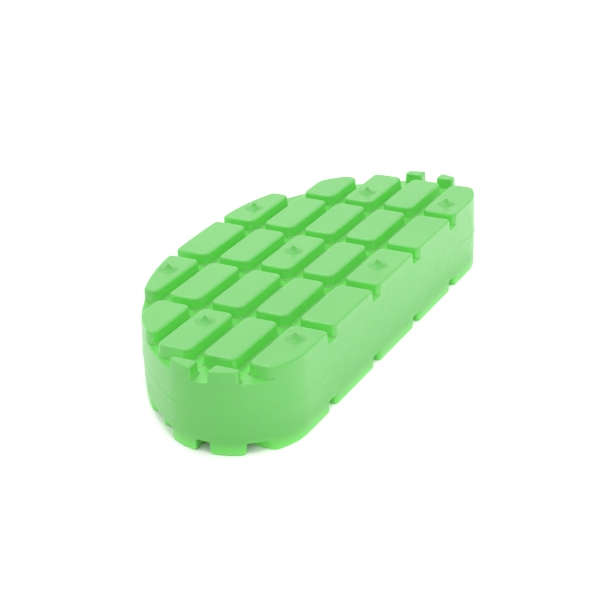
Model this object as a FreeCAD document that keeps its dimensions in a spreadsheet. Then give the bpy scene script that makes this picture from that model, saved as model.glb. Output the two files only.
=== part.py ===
import FreeCAD, Part
import math
import os
import Sketcher

# A cow's hoof block: one green plastic moulding, glued under the sound claw of a lame cow.
# Its outline has a straight inner side, a bowed outer side and two round ends. Both faces
# carry the same tread of pads between grooves, and the glue face has eight spacer pips.
# X runs across the block with +X at the straight side, Y along it, Z up from the ground face.

DIMENSIONS = (
    ("block_length", 120.8, "outline at the parting line, end to end"),
    ("block_width", 51.8, "outline at the parting line, side to side"),
    ("block_height", 18.6, "from one tread face to the other"),
    ("side_radius", 246.0, "plan radius of the bowed side"),
    ("bow_shift", 2.5, "the bowed side's widest point, from the middle towards +Y"),
    ("front_shoulder_radius", 60.8, "plan radius between the bowed side and the -Y end"),
    ("rear_shoulder_radius", 52.1, "plan radius between the bowed side and the +Y end"),
    ("end_radius", 16.0, "plan radius of the ends"),
    ("wall_draft", 1.25, "draft of the side wall from the parting line, degrees"),
    ("flash_reach", 0.15, "how far the moulding flash stands proud of the wall"),
    ("flash_thickness", 0.5, "height of the moulding flash"),
    ("groove_width", 3.0, "clear width of every groove at the tread face"),
    ("groove_depth", 2.7, "depth of every groove"),
    ("pad_draft", 3.0, "draft of the pads' sides, degrees"),
    ("corner_radius", 1.5, "plan radius of a pad's inner corners"),
    ("wall_corner_radius", 1.0, "radius where a pad's side meets the outer wall"),
    ("edge_round", 0.45, "round along the rim of a tread face"),
    ("outer_column_extra", 0.95, "how much wider the pads along the two walls are"),
    ("shoulder_pad_extra", 0.5, "how much wider the end pads of column B are"),
    ("shoulder_pad_setback", 4.4, "how much shorter the end pads of column B are"),
    ("lug_length", 3.5, "end lugs, measured along the block"),
    ("lug_corner_radius", 0.6, "plan radius of an end lug's inner corners"),
    ("lug_wall_radius", 0.4, "radius where an end lug's side meets the outer wall"),
    ("lug_pair_shift", 0.2, "pairs of end lugs, from the middle of the end arcs towards -X"),
    ("front_lug_width", 5.7, "end lugs at the -Y end of the glue face"),
    ("front_lug_spacing", 9.7, "centre to centre"),
    ("ground_lug_width", 6.6, "end lugs at the -Y end of the ground face"),
    ("ground_lug_spacing", 10.0, "centre to centre"),
    ("rear_lug_width", 4.2, "end lugs at the +Y end of both faces"),
    ("rear_lug_spacing", 8.5, "centre to centre"),
    ("pip_row_inset", 1.83, "how much closer the rows of spacer pips are than the rows of pads"),
    ("pip_height", 1.4, "pip above the glue face"),
    ("pip_foot_radius", 2.2, "edge of a pip's flared foot"),
    ("pip_tip_radius", 0.45, "rounded tip of a pip"),
)

# A pad's blank runs this far out past the wall before the outline trims it.
OVERRUN = 20.0
# Faces that meet at more than this angle, in degrees, make a corner and not a smooth join.
SHARP_ANGLE = 8.0
# An edge this close to the tread face, or closer, belongs to its rim.
RIM_REACH = 0.001
# A new pad sketch starts as a square of this half width with corners of this radius.
START_HALF = 5.0
START_RADIUS = 1.0

doc = FreeCAD.newDocument("hoof_block")
sheet = doc.addObject("Spreadsheet::Sheet", "Dims")
for line, (name, value, note) in enumerate(DIMENSIONS, start=1):
    sheet.set(f"A{line}", name)
    sheet.set(f"B{line}", str(value))
    sheet.set(f"C{line}", note)
    sheet.setAlias(f"B{line}", name)
doc.recompute()


def size(name):
    """The present value of one driving dimension."""
    return float(getattr(sheet, name))


# Sizes that follow from the driving dimensions, as expressions.
HALF_HEIGHT = "Dims.block_height / 2"
CORE_TOP = "(Dims.block_height - Dims.groove_depth)"
WALL_SLOPE = "Dims.block_height / 2 * tan(Dims.wall_draft)"
FACE_LENGTH = f"(Dims.block_length - 2 * {WALL_SLOPE})"
FACE_WIDTH = f"(Dims.block_width - 2 * {WALL_SLOPE})"
PAD_LENGTH = f"(({FACE_LENGTH} - 2 * Dims.lug_length - 6 * Dims.groove_width) / 5)"
PAD_WIDTH = f"(({FACE_WIDTH} - 2 * Dims.outer_column_extra - 4 * Dims.groove_width) / 5)"
ROW_PITCH = f"({PAD_LENGTH} + Dims.groove_width)"
COLUMN_PITCH = f"({PAD_WIDTH} + Dims.groove_width)"
PAD_SLOPE = "Dims.groove_depth * tan(Dims.pad_draft)"
LUG_PAIR_MIDDLE = "(Dims.block_width / 2 - Dims.end_radius - Dims.lug_pair_shift)"
PIP_PITCH = f"({ROW_PITCH} - Dims.pip_row_inset)"


def origin_plane(body, role):
    """One of a body's own origin planes, such as XY_Plane."""
    for feature in body.Origin.OriginFeatures:
        if feature.Role == role:
            return feature
    raise ValueError(role)


def sketch_on(body, name, role="XY_Plane"):
    """An empty sketch on one of a body's origin planes."""
    sketch = body.newObject("Sketcher::SketchObject", name)
    sketch.AttachmentSupport = [(origin_plane(body, role), "")]
    sketch.MapMode = "FlatFace"
    return sketch


def constrain(sketch, kind, *items):
    """Add one constraint. A trailing (name, expression) pair drives its value."""
    driven = items[-1] if isinstance(items[-1], tuple) else None
    plain = items[:-1] if driven else items
    index = sketch.addConstraint(Sketcher.Constraint(kind, *plain))
    if driven:
        name, expression = driven
        sketch.renameConstraint(index, name)
        sketch.setExpression(f"Constraints.{name}", expression)


def circles_meet(first, first_radius, second, second_radius):
    """The crossing of two circles that lies on the left of the line from first to second."""
    span = second - first
    along = (first_radius**2 - second_radius**2 + span.Length**2) / (2 * span.Length)
    aside = math.sqrt(first_radius**2 - along**2)
    unit = FreeCAD.Vector(span).normalize()
    left = FreeCAD.Vector(-unit.y, unit.x, 0)
    return first + unit * along + left * aside


def heading(start, stop):
    """The direction from one point to another, from nothing to a full turn."""
    return math.atan2(stop.y - start.y, stop.x - start.x) % (2 * math.pi)


def outline_sketch(body, name, proud=None):
    """The block's plan: a straight side, a bowed side, two ends and two shoulders, all tangent.
    With proud set to a dimension's name, the whole plan grows outwards by that dimension."""
    grown = size(proud) if proud else 0.0
    more = f" + Dims.{proud}" if proud else ""
    half_length = size("block_length") / 2 + grown
    half_width = size("block_width") / 2 + grown
    side = size("side_radius") + grown
    rear = size("rear_shoulder_radius") + grown
    front = size("front_shoulder_radius") + grown
    end = size("end_radius") + grown

    shift = size("bow_shift")
    side_centre = FreeCAD.Vector(side - half_width, shift, 0)
    end_x, end_y = half_width - end, half_length - end

    def shoulder_centre(radius, way):
        """The centre of the shoulder towards +Y, or towards -Y if way is -1."""
        side_there = FreeCAD.Vector(side_centre.x, way * shift, 0)
        end_there = FreeCAD.Vector(end_x, end_y, 0)
        found = circles_meet(side_there, side - radius, end_there, radius - end)
        return FreeCAD.Vector(found.x, way * found.y, 0)

    rear_centre, front_centre = shoulder_centre(rear, 1), shoulder_centre(front, -1)
    rear_end_centre = FreeCAD.Vector(end_x, end_y, 0)
    front_end_centre = FreeCAD.Vector(end_x, -end_y, 0)
    rear_to_end = heading(rear_centre, rear_end_centre)
    rear_to_side = heading(side_centre, rear_centre)
    front_to_side = heading(side_centre, front_centre)
    front_to_end = heading(front_centre, front_end_centre)

    def arc(centre, radius, start, stop):
        circle = Part.Circle(centre, FreeCAD.Vector(0, 0, 1), radius)
        return Part.ArcOfCircle(circle, start, stop)

    sketch = sketch_on(body, name)
    straight = sketch.addGeometry(
        Part.LineSegment(
            FreeCAD.Vector(half_width, -end_y, 0), FreeCAD.Vector(half_width, end_y, 0)
        )
    )
    rear_end = sketch.addGeometry(arc(rear_end_centre, end, 0, rear_to_end))
    rear_shoulder = sketch.addGeometry(arc(rear_centre, rear, rear_to_end, rear_to_side))
    bowed = sketch.addGeometry(arc(side_centre, side, rear_to_side, front_to_side))
    front_shoulder = sketch.addGeometry(arc(front_centre, front, front_to_side, front_to_end))
    front_end = sketch.addGeometry(arc(front_end_centre, end, front_to_end, 2 * math.pi))

    ring = (straight, rear_end, rear_shoulder, bowed, front_shoulder, front_end)
    for here, there in zip(ring, ring[1:] + ring[:1]):
        constrain(sketch, "Tangent", here, 2, there, 1)
    constrain(sketch, "Equal", rear_end, front_end)
    constrain(sketch, "Symmetric", straight, 1, straight, 2, -1)
    constrain(sketch, "Radius", bowed, side, ("side", f"Dims.side_radius{more}"))
    constrain(
        sketch, "Radius", rear_shoulder, rear, ("rear", f"Dims.rear_shoulder_radius{more}")
    )
    constrain(
        sketch, "Radius", front_shoulder, front, ("front", f"Dims.front_shoulder_radius{more}")
    )
    constrain(sketch, "Radius", rear_end, end, ("end", f"Dims.end_radius{more}"))
    constrain(
        sketch, "DistanceX", -1, 1, straight, 1, half_width, ("reach", f"Dims.block_width / 2{more}")
    )
    constrain(
        sketch, "DistanceX", -1, 1, bowed, 3, side - half_width,
        ("bow", "Dims.side_radius - Dims.block_width / 2"),
    )
    constrain(sketch, "DistanceY", -1, 1, bowed, 3, shift, ("bow_y", "Dims.bow_shift"))
    constrain(
        sketch, "DistanceY", -1, 1, rear_end, 3, end_y,
        ("reach_y", "Dims.block_length / 2 - Dims.end_radius"),
    )
    return sketch


def pad_up(body, name, sketch, length, draft, reverse=False):
    """Pad a sketch along Z, narrowing by a draft angle."""
    pad = body.newObject("PartDesign::Pad", name)
    pad.Profile = sketch
    pad.Reversed = reverse
    pad.setExpression("Length", length)
    pad.setExpression("TaperAngle", f"-{draft}")
    sketch.Visibility = False
    return pad


def two_way_draft(label, length):
    """The outline padded up and down from the parting plane, drafted both ways."""
    body = doc.addObject("PartDesign::Body", label)
    body.Label = label
    outline = outline_sketch(body, f"{label}_outline")
    pad_up(body, f"{label}_upper", outline, length, "Dims.wall_draft")
    pad_up(body, f"{label}_lower", outline, length, "Dims.wall_draft", reverse=True)
    body.setExpression("Placement.Base.z", HALF_HEIGHT)
    return body


def make_core():
    """The solid web between the grooves of both faces, with the flash at its parting line."""
    core = two_way_draft("core_web", f"{HALF_HEIGHT} - Dims.groove_depth")
    flash = outline_sketch(core, "parting_flash_outline", proud="flash_reach")
    ridge = core.newObject("PartDesign::Pad", "parting_flash")
    ridge.Profile = flash
    ridge.SideType = "Symmetric"
    ridge.setExpression("Length", "Dims.flash_thickness")
    return core


def make_blank(name, limits, corner_radius):
    """A drafted pad standing on the core, with round corners. The limits are its low X, high X,
    low Y and high Y at the tread face. They and the corner radius are expressions."""
    body = doc.addObject("PartDesign::Body", f"{name}_blank")
    sketch = sketch_on(body, f"{name}_plan")
    half, radius = START_HALF, START_RADIUS
    square = ((-half, -half), (half, -half), (half, half), (-half, half))
    points = [FreeCAD.Vector(x, y, 0) for x, y in square]
    sides = []
    corners = []
    for index, here in enumerate(points):
        there = points[(index + 1) % 4]
        run = (there - here).normalize() * radius
        sides.append(sketch.addGeometry(Part.LineSegment(here + run, there - run)))
    for index, here in enumerate(points):
        centre = here * (1 - radius / half)
        start = math.pi + index * math.pi / 2
        circle = Part.Circle(centre, FreeCAD.Vector(0, 0, 1), radius)
        corners.append(sketch.addGeometry(Part.ArcOfCircle(circle, start, start + math.pi / 2)))
    for index in range(4):
        constrain(sketch, "Tangent", sides[index - 1], 2, corners[index], 1)
        constrain(sketch, "Tangent", corners[index], 2, sides[index], 1)
        if index:
            constrain(sketch, "Equal", corners[0], corners[index])
    for index, kind in enumerate(("Horizontal", "Vertical", "Horizontal", "Vertical")):
        constrain(sketch, kind, sides[index])
    low_x, high_x, low_y, high_y = limits
    foot = PAD_SLOPE
    constrain(sketch, "Radius", corners[0], radius, ("corner", f"{corner_radius} + {foot}"))
    constrain(sketch, "DistanceX", -1, 1, sides[1], 1, half, ("high_x", f"{high_x} + {foot}"))
    constrain(sketch, "DistanceX", -1, 1, sides[3], 1, -half, ("low_x", f"{low_x} - {foot}"))
    constrain(sketch, "DistanceY", -1, 1, sides[2], 1, half, ("high_y", f"{high_y} + {foot}"))
    constrain(sketch, "DistanceY", -1, 1, sides[0], 1, -half, ("low_y", f"{low_y} - {foot}"))
    pad_up(body, f"{name}_pad", sketch, "Dims.groove_depth", "Dims.pad_draft")
    body.setExpression("Placement.Base.z", CORE_TOP)
    return body


def is_sharp(shape, edge):
    """Whether two faces meet at this edge with a corner rather than a tangent."""
    faces = [face for face in shape.Faces if any(edge.isSame(other) for other in face.Edges)]
    if len(faces) != 2:
        return False
    middle = edge.valueAt((edge.FirstParameter + edge.LastParameter) / 2)
    normals = [face.normalAt(*face.Surface.parameter(middle)) for face in faces]
    return math.degrees(normals[0].getAngle(normals[1])) > SHARP_ANGLE


def heights(edge):
    """The heights of an edge's two ends and its middle, above the ground face."""
    first, last = edge.FirstParameter, edge.LastParameter
    return [edge.valueAt(at).z for at in (first, (first + last) / 2, last)]


def wall_corners(shape):
    """The upright edges left where a pad's side was cut by the outer wall."""
    found = []
    for number, edge in enumerate(shape.Edges, start=1):
        climb = max(heights(edge)) - min(heights(edge))
        if climb > size("groove_depth") / 2 and is_sharp(shape, edge):
            found.append(number)
    return found


def top_rim(shape):
    """The edges round the tread face of a pad."""
    face = size("block_height") - RIM_REACH
    return [n for n, edge in enumerate(shape.Edges, start=1) if min(heights(edge)) > face]


def rounded(source, label, edges, radius):
    """A Part fillet of one radius on the numbered edges of a source object."""
    fillet = doc.addObject("Part::Fillet", label)
    fillet.Base = source
    fillet.Edges = [(number, radius, radius) for number in edges]
    fillet.Label = label
    doc.recompute([fillet])
    return fillet


def make_upper(name, limits, envelope, corner_radius, wall_corner_radius):
    """A pad or lug of the upper face, trimmed to the outer wall."""
    blank = make_blank(name, limits, f"Dims.{corner_radius}")
    trimmed = doc.addObject("Part::Common", f"{name}_trimmed")
    trimmed.Base = blank
    trimmed.Tool = envelope
    doc.recompute([blank, trimmed])
    body = trimmed
    corners = wall_corners(trimmed.Shape)
    if corners:
        body = rounded(trimmed, f"{name}_cornered", corners, size(wall_corner_radius))
    return rounded(body, name, top_rim(body.Shape), size("edge_round"))


def turned_under(upper, label):
    """The same pad or lug under the block, mirrored about the parting plane."""
    lower = doc.addObject("Part::Mirroring", label)
    lower.Source = upper
    lower.Normal = FreeCAD.Vector(0, 0, 1)
    lower.setExpression("Base.z", HALF_HEIGHT)
    lower.Label = label
    return lower


# Columns A to E run across the block from the bowed side, rows 1 to 5 along it from the -Y end.
COLUMNS = {"a": -2, "b": -1, "c": 0, "d": 1, "e": 2}
ROWS = {1: -2, 2: -1, 3: 0, 4: 1, 5: 2}
# The bowed side leaves no room for column A in the end rows. Column B's end pads stop short.
NO_PAD = {("a", 1), ("a", 5)}
SHOULDER_PADS = {("b", 1), ("b", 5)}


def pad_limits(column, row):
    """The limits of one tread pad. A pad beside the outer wall runs out past it."""
    centre_x = f"{COLUMNS[column]} * {COLUMN_PITCH}"
    centre_y = f"{ROWS[row]} * {ROW_PITCH}"
    past = f"{OVERRUN}"
    low_x = f"{centre_x} - {PAD_WIDTH} / 2 - {past if column == 'a' else 0}"
    high_x = f"{centre_x} + {PAD_WIDTH} / 2 + {past if column == 'e' else 0}"
    low_y = f"{centre_y} - {PAD_LENGTH} / 2"
    high_y = f"{centre_y} + {PAD_LENGTH} / 2"
    if (column, row) in SHOULDER_PADS:
        low_x = f"{low_x} - Dims.shoulder_pad_extra"
        if ROWS[row] < 0:
            low_y = f"{low_y} + Dims.shoulder_pad_setback"
        else:
            high_y = f"{high_y} - Dims.shoulder_pad_setback"
    return low_x, high_x, low_y, high_y


def lug_limits(end, which, pair):
    """The limits of one end lug, which runs out past the end wall. Its pair names its sizes."""
    side = {"front": -1, "rear": 1}[end]
    place = {"inner": -1, "outer": 1}[which]
    centre_x = f"{LUG_PAIR_MIDDLE} + {place} * Dims.{pair}_lug_spacing / 2"
    low_x = f"{centre_x} - Dims.{pair}_lug_width / 2"
    high_x = f"{centre_x} + Dims.{pair}_lug_width / 2"
    inner = f"{FACE_LENGTH} / 2 - Dims.lug_length"
    outer = f"{inner} + {OVERRUN}"
    if side < 0:
        return low_x, high_x, f"-({outer})", f"-({inner})"
    return low_x, high_x, inner, outer


def make_pips():
    """Eight spacer pips on the glue face: a small rounded cone with a flared foot."""
    pips = []
    rows_by_column = {"a": (-1, 1), "c": (-2, 0, 2), "e": (-2, 0, 2)}
    for column, rows in rows_by_column.items():
        for row in rows:
            body = doc.addObject("PartDesign::Body", "pip")
            sketch = sketch_on(body, "pip_profile", "XZ_Plane")
            pip_profile(sketch)
            turned = body.newObject("PartDesign::Revolution", "pip_turned")
            turned.Profile = sketch
            turned.ReferenceAxis = (sketch, ["V_Axis"])
            turned.Angle = 360
            body.setExpression("Placement.Base.x", f"{COLUMNS[column]} * {COLUMN_PITCH}")
            body.setExpression("Placement.Base.y", f"{row} * {PIP_PITCH}")
            body.setExpression("Placement.Base.z", "Dims.block_height")
            pips.append(body)
    group = doc.addObject("Part::Compound", "top_spacer_pips")
    group.Links = pips
    group.Label = "top_spacer_pips"
    return group


def pip_profile(sketch):
    """Half of a pip's section: foot, hollow flank, round tip and axis."""
    height = size("pip_height")
    foot = size("pip_foot_radius")
    tip = size("pip_tip_radius")
    rise = height - tip
    reach = foot - tip
    flank_radius = (reach**2 + rise**2) / (2 * rise)
    swing = math.asin(reach / flank_radius)
    flank_circle = Part.Circle(
        FreeCAD.Vector(foot, flank_radius, 0), FreeCAD.Vector(0, 0, 1), flank_radius
    )
    tip_circle = Part.Circle(FreeCAD.Vector(0, rise, 0), FreeCAD.Vector(0, 0, 1), tip)
    base = sketch.addGeometry(Part.LineSegment(FreeCAD.Vector(0, 0, 0), FreeCAD.Vector(foot, 0, 0)))
    flank = sketch.addGeometry(
        Part.ArcOfCircle(flank_circle, 1.5 * math.pi - swing, 1.5 * math.pi)
    )
    crown = sketch.addGeometry(Part.ArcOfCircle(tip_circle, 0, math.pi / 2))
    axis = sketch.addGeometry(Part.LineSegment(FreeCAD.Vector(0, height, 0), FreeCAD.Vector(0, 0, 0)))
    constrain(sketch, "Coincident", base, 1, -1, 1)
    constrain(sketch, "Horizontal", base)
    constrain(sketch, "Tangent", base, 2, flank, 2)
    constrain(sketch, "Coincident", flank, 1, crown, 1)
    constrain(sketch, "Coincident", crown, 2, axis, 1)
    constrain(sketch, "Coincident", axis, 2, base, 1)
    constrain(sketch, "Vertical", axis)
    constrain(sketch, "PointOnObject", crown, 3, -2)
    constrain(sketch, "Horizontal", crown, 1, crown, 3)
    constrain(sketch, "Distance", base, foot, ("foot", "Dims.pip_foot_radius"))
    constrain(sketch, "Radius", crown, tip, ("tip", "Dims.pip_tip_radius"))
    constrain(sketch, "Distance", axis, height, ("height", "Dims.pip_height"))


envelope = two_way_draft("envelope", HALF_HEIGHT)
nodes = [make_core()]
doc.recompute()
pad_corners = ("corner_radius", "wall_corner_radius")
for column in COLUMNS:
    for row in ROWS:
        if (column, row) not in NO_PAD:
            pad = f"tread_pad_{column}{row}"
            upper = make_upper(f"top_{pad}", pad_limits(column, row), envelope, *pad_corners)
            nodes += [upper, turned_under(upper, f"bottom_{pad}")]
lug_corners = ("lug_corner_radius", "lug_wall_radius")
for end in ("front", "rear"):
    for which in ("inner", "outer"):
        lug = f"{end}_lug_{which}"
        upper = make_upper(f"top_{lug}", lug_limits(end, which, end), envelope, *lug_corners)
        below = upper
        if end == "front":
            limits = lug_limits(end, which, "ground")
            below = make_upper(f"ground_{lug}", limits, envelope, *lug_corners)
        nodes += [upper, turned_under(below, f"bottom_{lug}")]
nodes.append(make_pips())
doc.recompute()

for thing in doc.Objects:
    if "Invalid" in thing.State or "Error" in thing.State:
        raise RuntimeError(f"{thing.Label} is {thing.State}")
for node in nodes:
    if node.Shape.isNull() or not node.Shape.isValid() or node.Shape.Volume <= 0:
        raise RuntimeError(f"{node.Label} has no valid shape")

os.makedirs("parts", exist_ok=True)
for node in nodes:
    node.Shape.exportStep(f"parts/{node.Label}.step")
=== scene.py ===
import math

import bpy
import numpy as np
from mathutils import Matrix, Vector


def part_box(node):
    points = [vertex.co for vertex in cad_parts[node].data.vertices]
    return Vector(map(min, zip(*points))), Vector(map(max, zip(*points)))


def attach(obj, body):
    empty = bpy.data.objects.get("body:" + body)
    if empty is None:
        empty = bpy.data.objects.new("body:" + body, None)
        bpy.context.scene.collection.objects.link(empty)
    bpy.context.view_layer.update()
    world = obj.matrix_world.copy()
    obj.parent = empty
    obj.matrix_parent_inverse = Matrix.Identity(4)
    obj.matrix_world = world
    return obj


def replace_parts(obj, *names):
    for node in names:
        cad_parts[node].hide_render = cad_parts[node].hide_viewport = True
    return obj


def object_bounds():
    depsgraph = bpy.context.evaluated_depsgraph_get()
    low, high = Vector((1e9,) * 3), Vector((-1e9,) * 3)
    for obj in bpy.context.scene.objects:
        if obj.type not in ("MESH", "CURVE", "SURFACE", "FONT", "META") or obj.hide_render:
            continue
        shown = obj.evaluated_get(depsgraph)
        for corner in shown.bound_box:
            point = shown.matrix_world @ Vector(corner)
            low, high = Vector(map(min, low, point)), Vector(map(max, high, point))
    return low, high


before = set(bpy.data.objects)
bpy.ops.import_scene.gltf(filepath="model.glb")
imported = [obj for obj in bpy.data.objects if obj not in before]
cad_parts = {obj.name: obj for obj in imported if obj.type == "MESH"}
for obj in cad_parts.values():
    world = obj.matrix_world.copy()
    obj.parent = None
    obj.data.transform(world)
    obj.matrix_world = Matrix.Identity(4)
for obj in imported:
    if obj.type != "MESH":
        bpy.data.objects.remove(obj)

# The block again, as smooth meshes: every pad, lug and pip is its own closed piece, standing
# on the web between the grooves. Everything is in metres and takes its place from the frame.
MM = 0.001
CAD_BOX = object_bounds()

# Plan radii and drafts of the moulding, as the design has them.
SIDE_RADIUS = 246.0 * MM
BOW_SHIFT = 2.5 * MM
FRONT_SHOULDER_RADIUS = 60.8 * MM
REAR_SHOULDER_RADIUS = 52.1 * MM
END_RADIUS = 16.0 * MM
WALL_SLOPE = math.tan(math.radians(1.25))
PAD_SLOPE = math.tan(math.radians(3.0))
CORNER_RADIUS = 1.5 * MM
WALL_CORNER_RADIUS = 1.0 * MM
LUG_CORNER_RADIUS = 0.6 * MM
LUG_WALL_RADIUS = 0.4 * MM
EDGE_ROUND = 0.45 * MM
FLASH_REACH = 0.15 * MM
PIP_FOOT_RADIUS = 2.2 * MM
PIP_TIP_RADIUS = 0.45 * MM

# Softening that every moulding has.
FOOT_ROUND = 0.4 * MM
FOOT_START = math.radians(25)
BEAD_REACH = 0.08 * MM
BEAD_HALF = 0.6 * MM
WEB_ROUND = 0.25 * MM
LEAST_ROUND = 0.01 * MM

# The flat top starts this far in from the rim, in shares of the rim's rounding.
RIM_INSET = 1.6

# How finely the surfaces are drawn.
OUTLINE_STEP = 0.6 * MM
PAD_POINTS = 120
ROUND_STEPS = 6
PIP_SEGMENTS = 40
FAR = 1.0
LONGEST_RAY = 30 * MM
HALVINGS = 40
TRIAL_RAYS = 1440
TURN_WEIGHT = 2
SAME_HEIGHT = 0.01 * MM

# The plastic's greens: open faces and the cloud in them; a lighter green for the grooves that is
# painted glow, standing for light scattered inside the plastic; and the pips' darker greens, which
# are painted shade.
GREEN = (0.085, 0.385, 0.062)
GREEN_SHADE = (0.078, 0.365, 0.057)
GROOVE_PAINTED_GLOW_GREEN = (0.135, 0.60, 0.092)
PIP_PAINTED_SHADE_GREEN = (0.06, 0.34, 0.042)
PIP_PAINTED_SHADE_CLOUD = (0.055, 0.32, 0.038)

# How the plastic takes light.
PLASTIC_IOR = 1.5
PLASTIC_SPECULAR = 0.62
SCATTER_RADIUS = (0.35, 1.0, 0.3)
SCATTER_SCALE = 1.5 * MM

# The plastic's patterns, in cells to the metre, and how far they act.
CLOUD_SCALE = 45.0
SCUFF_SCALE = 320.0
WAVE_SCALE = 180.0
GRAIN_SCALE = 4200.0
NOISE_LOW, NOISE_HIGH = 0.3, 0.7
SCUFF_BELOW, SCUFF_ABOVE = 0.04, 0.05
WAVE_STRENGTH = 0.25
WAVE_HEIGHT = 0.1 * MM
GRAIN_HEIGHT = 0.02 * MM

# How shut in a place is where the painted glow in the grooves starts, and where it is full.
GROOVE_REACH = 4 * MM
GROOVE_SAMPLES = 8
PAINTED_GLOW_STARTS, PAINTED_GLOW_FULL = 0.95, 0.55

# The floor. Its own glow rises with x from nothing to its full strength.
FLOOR_REACH = 6.0
FLOOR_GREY = 0.9
FLOOR_ROUGHNESS = 0.9
GLOW_STARTS, GLOW_FULL = 0.015, 0.035
GLOW_STRENGTH = 0.45

# The light: a white room, and square soft boxes at an azimuth, elevation, distance and power.
ROOM_STRENGTH = 1.4
SOFT_BOX_SIZE = 0.14
SOFT_BOXES = (("overhead", 238, 62, 0.6, 1.0), ("front_right", 45, 62, 0.7, 0.6))

# The photograph's view: the point of the glue face that the camera looks at, and from where.
# The lens and the sensor are in millimetres.
CAMERA_AIM = (13.45 * MM, -23.30 * MM)
CAMERA_DISTANCE = 338.55 * MM
CAMERA_AZIMUTH = math.radians(27.478)
CAMERA_ELEVATION = math.radians(24.6085)
CAMERA_ROLL = math.radians(-1.8801)
CAMERA_LENS = 95.745
CAMERA_SENSOR = 36.0
CAMERA_CLIP = 0.01

WEB_LOW, WEB_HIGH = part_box("core_web")
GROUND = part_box("bottom_tread_pad_c3")[0].z
GLUE_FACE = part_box("top_tread_pad_c3")[1].z
MIDDLE = (GROUND + GLUE_FACE) / 2
HALF_WIDTH = WEB_HIGH.x - FLASH_REACH
HALF_LENGTH = WEB_HIGH.y - FLASH_REACH


def circles_meet(first, first_radius, second, second_radius):
    """The crossing of two circles that lies on the left of the line from first to second."""
    span = second - first
    along = (first_radius**2 - second_radius**2 + span.length**2) / (2 * span.length)
    aside = math.sqrt(first_radius**2 - along**2)
    unit = span.normalized()
    return first + unit * along + Vector((-unit.y, unit.x)) * aside


def heading(start, stop):
    """The direction from one point to another, from nothing to a full turn."""
    return math.atan2(stop.y - start.y, stop.x - start.x) % (2 * math.pi)


def outline_arcs():
    """The plan's five arcs, anticlockwise from the straight side: centre, radius, start, stop."""
    side = Vector((SIDE_RADIUS - HALF_WIDTH, BOW_SHIFT))
    rear_end = Vector((HALF_WIDTH - END_RADIUS, HALF_LENGTH - END_RADIUS))
    front_end = Vector((rear_end.x, -rear_end.y))

    def shoulder(radius, way):
        side_there = Vector((side.x, way * side.y))
        found = circles_meet(side_there, SIDE_RADIUS - radius, rear_end, radius - END_RADIUS)
        return Vector((found.x, way * found.y))

    rear, front = shoulder(REAR_SHOULDER_RADIUS, 1), shoulder(FRONT_SHOULDER_RADIUS, -1)
    turns = (0.0, heading(rear, rear_end), heading(side, rear),
             heading(side, front), heading(front, front_end), 2 * math.pi)
    centres = (rear_end, rear, side, front, front_end)
    radii = (END_RADIUS, REAR_SHOULDER_RADIUS, SIDE_RADIUS, FRONT_SHOULDER_RADIUS, END_RADIUS)
    return tuple(zip(centres, radii, turns, turns[1:]))


ARCS = outline_arcs()


def outline():
    """Points round the parting line and their outward normals, anticlockwise."""
    points, normals = [], []
    for centre, radius, start, stop in ARCS:
        steps = max(2, round(radius * (stop - start) / OUTLINE_STEP))
        for index in range(steps):
            angle = start + (stop - start) * index / steps
            normal = Vector((math.cos(angle), math.sin(angle)))
            points.append(centre + normal * radius)
            normals.append(normal)
    first, last = -ARCS[-1][0].y, ARCS[-1][0].y
    steps = round((first - last) / OUTLINE_STEP)
    for index in range(steps):
        points.append(Vector((HALF_WIDTH, last + (first - last) * index / steps)))
        normals.append(Vector((1, 0)))
    return np.array(points), np.array(normals)


def outline_distance(x, y):
    """How far outside the parting line each point is. It is negative inside."""
    nearest = np.where(np.abs(y) <= ARCS[0][0].y, x - HALF_WIDTH, -FAR)
    for centre, radius, start, stop in ARCS:
        angle = np.arctan2(y - centre.y, x - centre.x) % (2 * math.pi)
        distance = np.hypot(x - centre.x, y - centre.y) - radius
        nearest = np.maximum(nearest, np.where((angle >= start) & (angle <= stop), distance, -FAR))
    return nearest


def rounded_max(first, second, radius):
    """The larger of two distances, with the corner between them rounded."""
    a, b = first + radius, second + radius
    corner = np.sqrt(np.maximum(a, 0) ** 2 + np.maximum(b, 0) ** 2) - radius
    return np.where((a > 0) & (b > 0), corner, np.maximum(first, second))


def foot_rise(angle):
    """How high a pad's flared foot stands where its side has turned up by this angle."""
    return FOOT_ROUND * (math.cos(FOOT_START) - math.cos(angle))


def foot_flare(rise):
    """How far a pad's side has run out at this height above the groove floor."""
    drop = FOOT_ROUND * math.cos(FOOT_START) - rise
    if drop <= 0:
        return 0.0
    return FOOT_ROUND - math.sqrt(FOOT_ROUND**2 - drop**2)


def pad_distance(limits, corners, x, y, rise, wall_lift):
    """How far outside a pad each point is, at one height above its foot and off the middle."""
    low_x, high_x, low_y, high_y = limits
    corner, wall_corner = corners
    lean = rise * PAD_SLOPE - foot_flare(rise)
    across = np.maximum(low_x - x, x - high_x) + lean
    along = np.maximum(low_y - y, y - high_y) + lean
    wall = outline_distance(x, y) + wall_lift * WALL_SLOPE
    return rounded_max(rounded_max(across, along, corner), wall, wall_corner)


def ring_radii(distance, directions, inset):
    """How far each ray from the pad's middle runs to the line where distance is -inset."""
    low = np.zeros(len(directions))
    high = np.full(len(directions), LONGEST_RAY)
    for _ in range(HALVINGS):
        middle = (low + high) / 2
        outside = distance(middle * directions[:, 0], middle * directions[:, 1]) > -inset
        low, high = np.where(outside, low, middle), np.where(outside, middle, high)
    return (low + high) / 2


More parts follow.
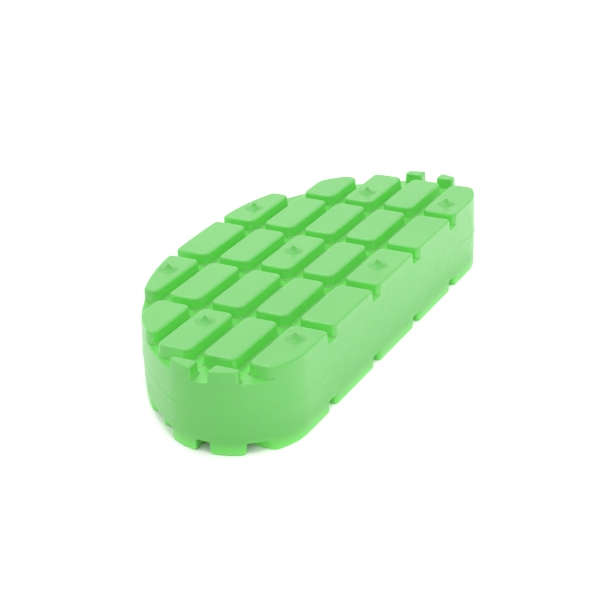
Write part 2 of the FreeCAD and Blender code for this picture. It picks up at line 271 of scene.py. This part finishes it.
def spread_rays(distance, count):
    """Unit rays from a pad's middle, close together where its rim turns."""
    fine = np.linspace(0, 2 * math.pi, TRIAL_RAYS, endpoint=False)
    rays = np.column_stack((np.cos(fine), np.sin(fine)))
    rim = rays * ring_radii(distance, rays, 0)[:, None]
    run = np.roll(rim, -1, axis=0) - rim
    course = np.arctan2(run[:, 1], run[:, 0])
    turn = np.abs((np.roll(course, -1) - course + math.pi) % (2 * math.pi) - math.pi)
    length = np.hypot(run[:, 0], run[:, 1])
    weight = np.cumsum(length / length.sum() + TURN_WEIGHT * turn / turn.sum())
    angles = np.interp(np.arange(count) * weight[-1] / count, weight, fine)
    return np.column_stack((np.cos(angles), np.sin(angles)))


def smooth_piece(name, rings, material, sharp_rings=()):
    """A closed piece from rings of points, bottom to top, capped at both ends."""
    count = len(rings[0])
    vertices = [point for ring in rings for point in ring]
    faces = [tuple(reversed(range(count)))]
    for level in range(len(rings) - 1):
        here, above = level * count, (level + 1) * count
        for index in range(count):
            after = (index + 1) % count
            faces.append((here + index, here + after, above + after, above + index))
    top = (len(rings) - 1) * count
    faces.append(tuple(top + index for index in range(count)))
    sharp = [(ring * count + index, ring * count + (index + 1) % count)
             for ring in sharp_rings for index in range(count)]
    return finish_piece(name, vertices, faces, material, sharp)


def finish_piece(name, vertices, faces, material, sharp_edges):
    """The mesh object, smooth but for its sharp edges, with its material and its body."""
    mesh = bpy.data.meshes.new(name)
    mesh.from_pydata(vertices, [], faces)
    mesh.validate()
    mesh.shade_smooth()
    sharp = {frozenset(pair) for pair in sharp_edges}
    for edge in mesh.edges:
        edge.use_edge_sharp = frozenset(edge.vertices) in sharp
    mesh.materials.append(material)
    piece = bpy.data.objects.new(name, mesh)
    bpy.context.scene.collection.objects.link(piece)
    weighted = piece.modifiers.new("Face-weighted normals", "WEIGHTED_NORMAL")
    weighted.keep_sharp = True
    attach(piece, "root")
    return piece


def rounding(radius):
    """Steps round a quarter turn: how far along the wall and how far in from it."""
    for step in range(1, ROUND_STEPS + 1):
        angle = math.pi / 2 * step / ROUND_STEPS
        yield radius * math.sin(angle), radius * (1 - math.cos(angle))


def make_pad(node, limits, corners, material):
    """One pad or lug: flared foot, drafted sides, round rim and flat tread face."""
    low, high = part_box(node)
    on_top = low.z > MIDDLE
    height = high.z - low.z
    foot = low.z if on_top else high.z
    lift = abs(foot - MIDDLE)
    way = 1 if on_top else -1
    middle_x = (max(limits[0], low.x) + min(limits[1], high.x)) / 2
    middle_y = (max(limits[2], low.y) + min(limits[3], high.y)) / 2
    turn = math.pi / 2 - FOOT_START
    levels = [(foot_rise(FOOT_START + turn * step / ROUND_STEPS), 0.0)
              for step in range(ROUND_STEPS + 1)]
    levels.append((height - EDGE_ROUND, 0.0))
    levels += [(height - EDGE_ROUND + rise, inset) for rise, inset in rounding(EDGE_ROUND)]
    levels.append((height, EDGE_ROUND * RIM_INSET))

    def distance_at(rise):
        return lambda x, y: pad_distance(
            limits, corners, x + middle_x, y + middle_y, rise, lift + rise
        )

    rays = spread_rays(distance_at(height), PAD_POINTS)
    rings = []
    for rise, inset in levels:
        radii = ring_radii(distance_at(rise), rays, inset)
        flat = rays * radii[:, None] + (middle_x, middle_y)
        rings.append([(x, y, foot + way * rise) for x, y in flat])
    if not on_top:
        rings.reverse()
    sharp = (0,) if on_top else (len(rings) - 1,)
    piece = smooth_piece(f"{node}_moulded", rings, material, sharp)
    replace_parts(piece, node)


def tread_limits(column, row):
    """A pad's limits at its foot. A pad at the outer wall has no limit of its own there."""
    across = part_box(f"top_tread_pad_{column}3")
    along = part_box(f"top_tread_pad_d{row}")
    low_x = -FAR if column == "a" else across[0].x
    high_x = FAR if column == "e" else across[1].x
    low_y, high_y = along[0].y, along[1].y
    if column == "b" and row in (1, 5):
        low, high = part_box(f"top_tread_pad_b{row}")
        low_x, low_y, high_y = low.x, low.y, high.y
    return low_x, high_x, low_y, high_y


def lug_limits(node):
    """A lug's limits at its foot. It runs out to the end wall."""
    low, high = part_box(node)
    if low.y > 0:
        return low.x, high.x, low.y, FAR
    return low.x, high.x, -FAR, high.y


def tread_pieces():
    """Every pad and lug of both faces: its node, limits and corner radii."""
    pieces = []
    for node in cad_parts:
        if "_tread_pad_" in node:
            limits = tread_limits(node[-2], int(node[-1]))
            pieces.append((node, limits, (CORNER_RADIUS, WALL_CORNER_RADIUS)))
        elif "_lug_" in node:
            pieces.append((node, lug_limits(node), (LUG_CORNER_RADIUS, LUG_WALL_RADIUS)))
    return sorted(pieces)


def make_web(pieces, material):
    """The web: drafted wall, flash bead at the parting line, soft edges where grooves run out."""
    points, normals = outline()
    lift = WEB_HIGH.z - MIDDLE
    edge = points - normals * lift * WALL_SLOPE
    clear = np.full(len(points), FAR)
    for node, limits, corners in pieces:
        if node.startswith("top_"):
            away = pad_distance(limits, corners, edge[:, 0], edge[:, 1], 0.0, lift)
            clear = np.minimum(clear, away)
    radius = np.clip(clear, LEAST_ROUND, WEB_ROUND)

    def ring(rise, inset):
        flat = points - normals * (np.abs(rise) * WALL_SLOPE + inset)[:, None]
        return [(x, y, MIDDLE + z) for (x, y), z in zip(flat, rise)]

    level = np.ones(len(points))
    upper = [(BEAD_HALF * level, 0 * level), (lift - radius, 0 * level)]
    upper += [(lift - radius + radius * rise, radius * inset) for rise, inset in rounding(1.0)]
    flash = []
    for step in range(-ROUND_STEPS + 1, ROUND_STEPS):
        part = step / ROUND_STEPS
        out = BEAD_REACH * (1 + math.cos(math.pi * part)) / 2
        flash.append((BEAD_HALF * part * level, -out * level))
    lower = [(-rise, inset) for rise, inset in reversed(upper)]
    rings = [ring(rise, inset) for rise, inset in lower + flash + upper]
    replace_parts(smooth_piece("core_web_moulded", rings, material), "core_web")


def pip_centres():
    """The middle of each spacer pip on the glue face, from its highest points, and the tips."""
    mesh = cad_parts["top_spacer_pips"].data
    tip = max(v.co.z for v in mesh.vertices)
    near = [v.co for v in mesh.vertices if v.co.z > tip - SAME_HEIGHT]
    centres = []
    for point in near:
        if all((point - centre).length > PIP_FOOT_RADIUS for centre in centres):
            centres.append(point.copy())
    return [Vector((c.x, c.y)) for c in centres], tip


def make_pips(material):
    """The spacer pips: a flared foot, a hollow flank and a round tip."""
    centres, tip = pip_centres()
    height = tip - GLUE_FACE
    rise = height - PIP_TIP_RADIUS
    reach = PIP_FOOT_RADIUS - PIP_TIP_RADIUS
    flank = (reach**2 + rise**2) / (2 * rise)
    swing = math.asin(reach / flank)
    profile = []
    for step in range(2 * ROUND_STEPS + 1):
        angle = swing * step / (2 * ROUND_STEPS)
        profile.append((PIP_FOOT_RADIUS - flank * math.sin(angle), flank * (1 - math.cos(angle))))
    for step in range(1, ROUND_STEPS):
        angle = math.pi / 2 * step / ROUND_STEPS
        profile.append((PIP_TIP_RADIUS * math.cos(angle), rise + PIP_TIP_RADIUS * math.sin(angle)))
    vertices, faces, feet = [], [], []
    for centre in centres:
        start = len(vertices)
        feet += [(start + index, start + (index + 1) % PIP_SEGMENTS)
                 for index in range(PIP_SEGMENTS)]
        for radius, up in profile:
            for index in range(PIP_SEGMENTS):
                angle = 2 * math.pi * index / PIP_SEGMENTS
                vertices.append((centre.x + radius * math.cos(angle),
                                 centre.y + radius * math.sin(angle), GLUE_FACE + up))
        vertices.append((centre.x, centre.y, tip))
        faces.append(tuple(start + index for index in reversed(range(PIP_SEGMENTS))))
        for level in range(len(profile) - 1):
            here = start + level * PIP_SEGMENTS
            for index in range(PIP_SEGMENTS):
                after = (index + 1) % PIP_SEGMENTS
                faces.append((here + index, here + after,
                              here + PIP_SEGMENTS + after, here + PIP_SEGMENTS + index))
        last = start + (len(profile) - 1) * PIP_SEGMENTS
        for index in range(PIP_SEGMENTS):
            faces.append((last + index, last + (index + 1) % PIP_SEGMENTS, len(vertices) - 1))
    piece = finish_piece("top_spacer_pips_moulded", vertices, faces, material, feet)
    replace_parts(piece, "top_spacer_pips")


def ranged(tree, source, from_low, from_high, to_low, to_high):
    """A value moved from one range to another, and held within it."""
    node = tree.nodes.new("ShaderNodeMapRange")
    node.inputs["From Min"].default_value = from_low
    node.inputs["From Max"].default_value = from_high
    node.inputs["To Min"].default_value = to_low
    node.inputs["To Max"].default_value = to_high
    tree.links.new(source, node.inputs["Value"])
    return node.outputs["Result"]


def plastic(name, colour, shade, roughness, grain, glow):
    """Semi-gloss green plastic: cloudy pigment, a painted glow in the grooves, fine moulded grain
    and a slow surface wave.
    """
    material = bpy.data.materials.new(name)
    material.use_nodes = True
    tree = material.node_tree
    nodes, links = tree.nodes, tree.links
    shader = nodes["Principled BSDF"]
    shader.inputs["IOR"].default_value = PLASTIC_IOR
    shader.inputs["Specular IOR Level"].default_value = PLASTIC_SPECULAR
    shader.inputs["Subsurface Weight"].default_value = glow
    shader.inputs["Subsurface Radius"].default_value = SCATTER_RADIUS
    shader.inputs["Subsurface Scale"].default_value = SCATTER_SCALE
    where = nodes.new("ShaderNodeTexCoord")

    def noise(scale, detail, rough=0.5):
        node = nodes.new("ShaderNodeTexNoise")
        node.inputs["Scale"].default_value = scale
        node.inputs["Detail"].default_value = detail
        node.inputs["Roughness"].default_value = rough
        links.new(where.outputs["Object"], node.inputs["Vector"])
        return node.outputs["Fac"]

    cloud = ranged(tree, noise(CLOUD_SCALE, 4.0), NOISE_LOW, NOISE_HIGH, 0.0, 1.0)
    pigment = nodes.new("ShaderNodeMix")
    pigment.data_type = "RGBA"
    links.new(cloud, pigment.inputs["Factor"])
    pigment.inputs["A"].default_value = (*colour, 1)
    pigment.inputs["B"].default_value = (*shade, 1)

    # Painted light: a lighter green painted down in the grooves, where the faces are shut in,
    # stands for light scattered inside the plastic.
    open_sky = nodes.new("ShaderNodeAmbientOcclusion")
    open_sky.samples = GROOVE_SAMPLES
    open_sky.inputs["Distance"].default_value = GROOVE_REACH
    painted_glow_mask = ranged(tree, open_sky.outputs["AO"], PAINTED_GLOW_STARTS, PAINTED_GLOW_FULL, 0.0, 1.0)
    painted_glow = nodes.new("ShaderNodeMix")
    painted_glow.data_type = "RGBA"
    links.new(painted_glow_mask, painted_glow.inputs["Factor"])
    links.new(pigment.outputs["Result"], painted_glow.inputs["A"])
    painted_glow.inputs["B"].default_value = (*GROOVE_PAINTED_GLOW_GREEN, 1)
    links.new(painted_glow.outputs["Result"], shader.inputs["Base Color"])
    scuff = ranged(tree, noise(SCUFF_SCALE, 6.0, 0.65), NOISE_LOW, NOISE_HIGH,
                   roughness - SCUFF_BELOW, roughness + SCUFF_ABOVE)
    links.new(scuff, shader.inputs["Roughness"])

    wave = nodes.new("ShaderNodeBump")
    wave.inputs["Strength"].default_value = WAVE_STRENGTH
    wave.inputs["Distance"].default_value = WAVE_HEIGHT
    links.new(noise(WAVE_SCALE, 2.0), wave.inputs["Height"])
    fine = nodes.new("ShaderNodeBump")
    fine.inputs["Strength"].default_value = grain
    fine.inputs["Distance"].default_value = GRAIN_HEIGHT
    links.new(noise(GRAIN_SCALE, 2.0), fine.inputs["Height"])
    links.new(wave.outputs["Normal"], fine.inputs["Normal"])
    links.new(fine.outputs["Normal"], shader.inputs["Normal"])
    return material


def make_floor():
    """A plain pale floor, far wider than the block."""
    mesh = bpy.data.meshes.new("floor")
    signs = ((-1, -1), (1, -1), (1, 1), (-1, 1))
    corners = [(x * FLOOR_REACH, y * FLOOR_REACH, 0) for x, y in signs]
    mesh.from_pydata(corners, [], [(0, 1, 2, 3)])
    material = bpy.data.materials.new("pale_floor")
    material.use_nodes = True
    tree = material.node_tree
    shader = tree.nodes["Principled BSDF"]
    shader.inputs["Base Color"].default_value = (FLOOR_GREY, FLOOR_GREY, FLOOR_GREY, 1)
    shader.inputs["Roughness"].default_value = FLOOR_ROUGHNESS
    shader.inputs["Specular IOR Level"].default_value = 0.0
    shader.inputs["Emission Color"].default_value = (1, 1, 1, 1)
    where = tree.nodes.new("ShaderNodeTexCoord")
    parts = tree.nodes.new("ShaderNodeSeparateXYZ")
    tree.links.new(where.outputs["Object"], parts.inputs["Vector"])
    lit = ranged(tree, parts.outputs["X"], GLOW_STARTS, GLOW_FULL, 0.0, GLOW_STRENGTH)
    tree.links.new(lit, shader.inputs["Emission Strength"])
    mesh.materials.append(material)
    floor = bpy.data.objects.new("floor", mesh)
    floor.location.z = CAD_BOX[0].z
    bpy.context.scene.collection.objects.link(floor)


def direction(azimuth, elevation):
    """Which way a camera or a lamp lies, with its azimuth turned from -Y towards +X."""
    level = math.cos(elevation)
    return Vector((math.sin(azimuth) * level, -math.cos(azimuth) * level, math.sin(elevation)))


def soft_box(name, azimuth, elevation, distance, power):
    """A square white area light aimed at the block, with its angles in degrees."""
    light = bpy.data.lights.new(name, "AREA")
    light.shape = "RECTANGLE"
    light.size = SOFT_BOX_SIZE
    light.size_y = SOFT_BOX_SIZE
    light.energy = power
    back = direction(math.radians(azimuth), math.radians(elevation))
    lamp = bpy.data.objects.new(name, light)
    lamp.location = Vector((0, 0, MIDDLE)) + back * distance
    lamp.rotation_euler = (-back).to_track_quat("-Z", "Y").to_euler()
    bpy.context.scene.collection.objects.link(lamp)


def make_light():
    """A white room all round, with a soft box high behind and one in front on the right."""
    world = bpy.data.worlds.new("white_room")
    world.use_nodes = True
    room = world.node_tree.nodes["Background"]
    room.inputs["Color"].default_value = (1, 1, 1, 1)
    room.inputs["Strength"].default_value = ROOM_STRENGTH
    bpy.context.scene.world = world
    bpy.context.scene.view_settings.view_transform = "Standard"
    bpy.context.scene.view_settings.look = "None"
    for settings in SOFT_BOXES:
        soft_box(*settings)


def make_camera():
    """The camera at the photograph's view."""
    back = direction(CAMERA_AZIMUTH, CAMERA_ELEVATION)
    level = Vector((0, 0, 1)).cross(back).normalized()
    upright = back.cross(level)
    right = math.cos(CAMERA_ROLL) * level + math.sin(CAMERA_ROLL) * upright
    up = back.cross(right)
    lens = bpy.data.cameras.new("camera")
    lens.lens = CAMERA_LENS
    lens.sensor_width = CAMERA_SENSOR
    lens.clip_start = CAMERA_CLIP
    camera = bpy.data.objects.new("camera", lens)
    bpy.context.scene.collection.objects.link(camera)
    at = Vector((*CAMERA_AIM, GLUE_FACE)) + back * CAMERA_DISTANCE
    camera.matrix_world = Matrix.Translation(at) @ Matrix((right, up, back)).transposed().to_4x4()
    bpy.context.scene.camera = camera


tread = plastic("tread_plastic", GREEN, GREEN_SHADE, 0.34, 0.25, 0.4)
web = plastic("web_plastic", GREEN, GREEN_SHADE, 0.36, 0.2, 0.4)
# The pips' greens are darker than the pads' as painted shade on the nubs.
pip = plastic("pip_plastic", PIP_PAINTED_SHADE_GREEN, PIP_PAINTED_SHADE_CLOUD, 0.5, 0.15, 0.0)

pieces = tread_pieces()
for node, limits, corners in pieces:
    make_pad(node, limits, corners, tread)
make_web(pieces, web)
make_pips(pip)
make_floor()
make_light()
make_camera()
